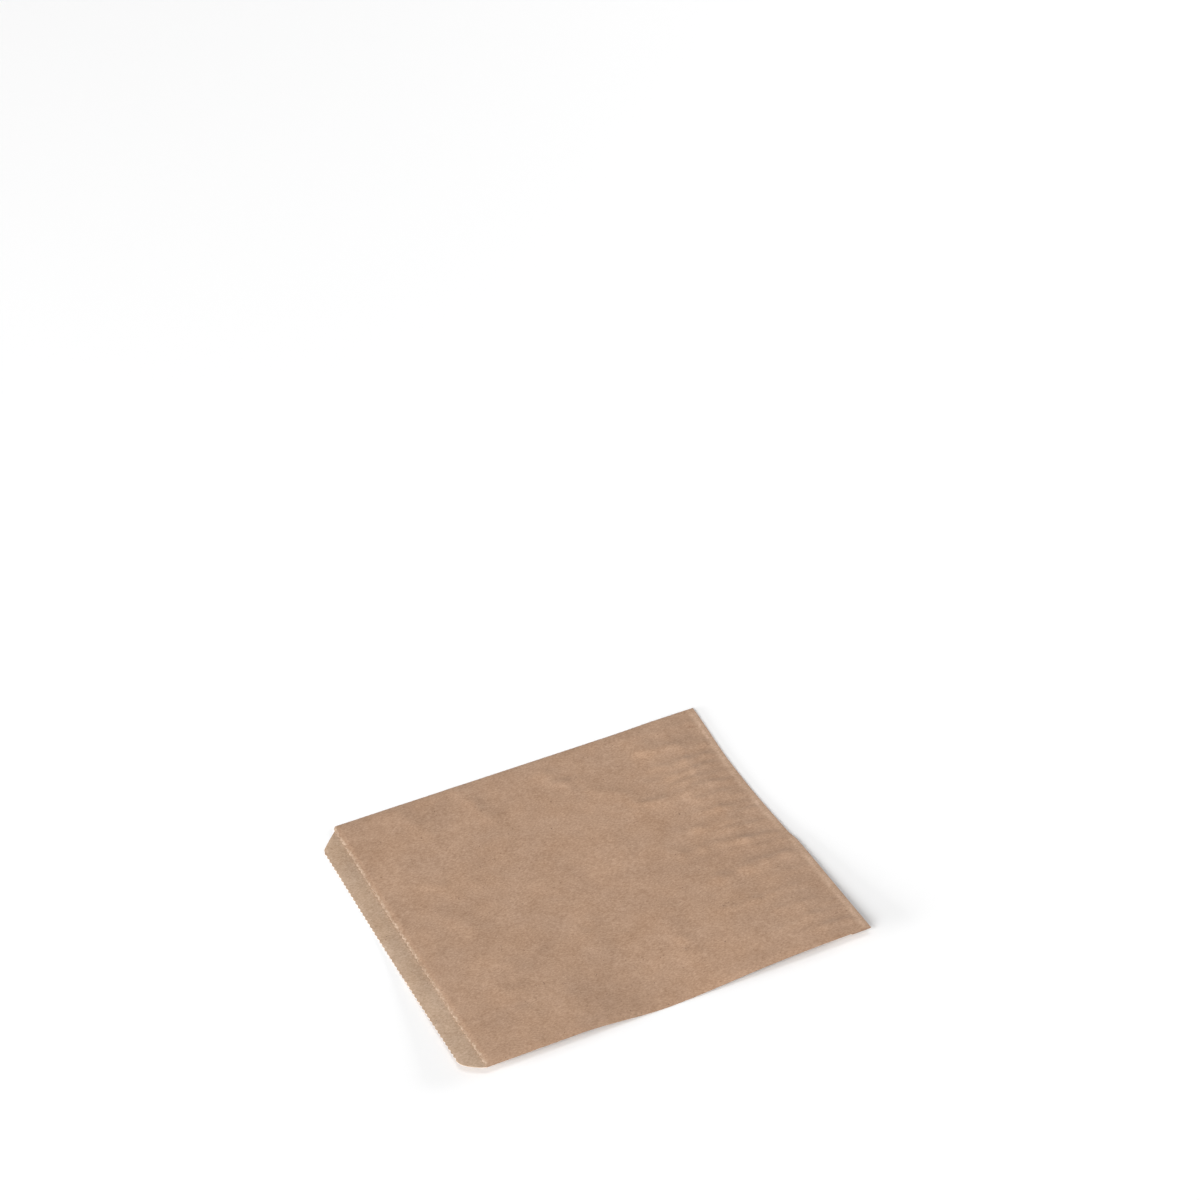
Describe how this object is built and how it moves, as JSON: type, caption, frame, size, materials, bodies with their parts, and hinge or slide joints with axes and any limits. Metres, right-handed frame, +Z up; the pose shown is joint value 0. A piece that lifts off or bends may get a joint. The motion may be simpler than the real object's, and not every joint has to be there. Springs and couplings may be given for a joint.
{
  "type": "flat paper bag",
  "caption": "Flat brown kraft paper bag with a serrated mouth, a lip on the back panel, a glued back seam and a turned-under glued bottom.",
  "frame": {"origin": "middle of the bag's box, on the table that it lies on", "axes": "+X across the bag between its side folds, +Y from the bottom fold to the mouth, +Z up from the back panel to the front panel"},
  "size_m": [0.17, 0.198, 0.0049],
  "materials": {
    "kraft_paper": "matt uncoated brown paper, roughness 0.85"
  },
  "bodies": {
    "root": {"paper_bag": "kraft_paper"}
  },
  "joints": []
}
